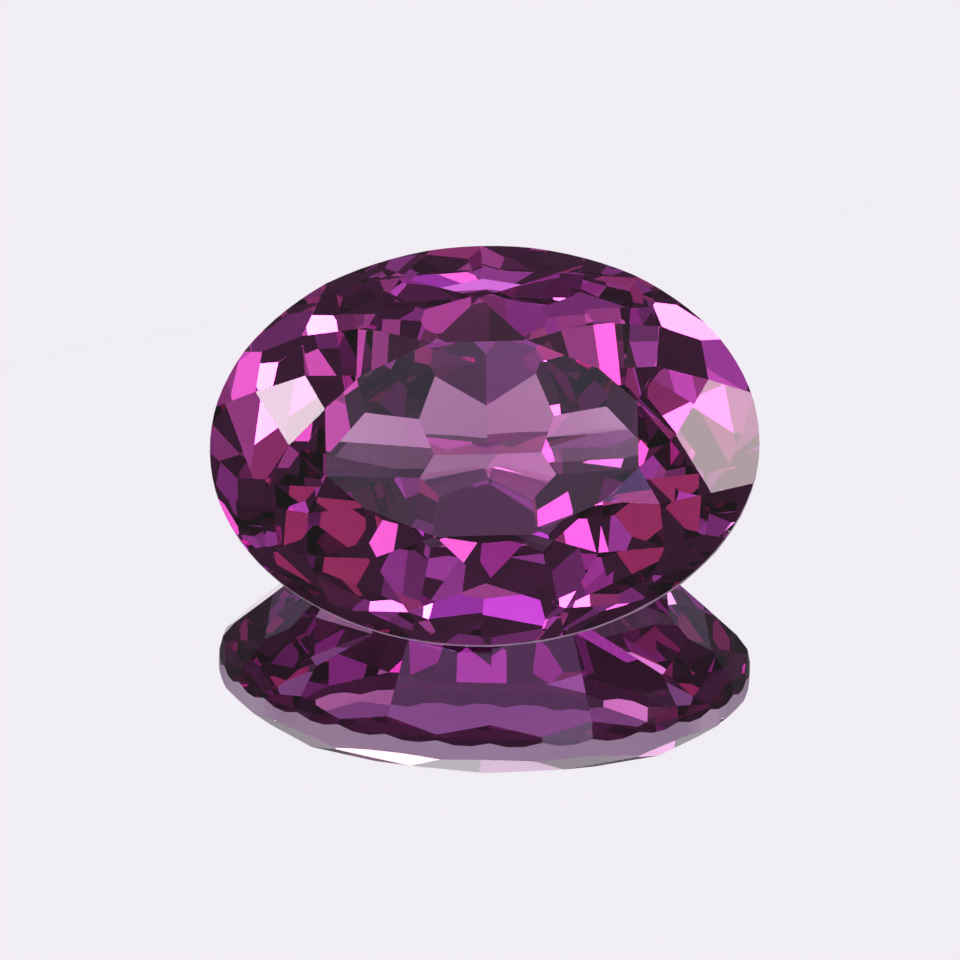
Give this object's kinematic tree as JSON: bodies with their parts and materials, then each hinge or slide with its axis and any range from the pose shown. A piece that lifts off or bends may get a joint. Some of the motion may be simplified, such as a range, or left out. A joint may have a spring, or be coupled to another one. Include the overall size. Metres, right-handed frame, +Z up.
{
  "type": "oval cut gemstone",
  "caption": "Oval faceted purple gemstone with a broad table and thin girdle, leaning on a flat keel facet.",
  "frame": {"origin": "centre of the bounding box in X and Y, at the ground the rest facet lies on", "axes": "+X along the stone's long axis, +Z up from the ground, the table leans toward -Y"},
  "size_m": [0.01, 0.0066, 0.0056],
  "materials": {
    "sapphire": "polished facets, finely ground girdle"
  },
  "bodies": {
    "root": {"sapphire": "sapphire"}
  },
  "joints": []
}
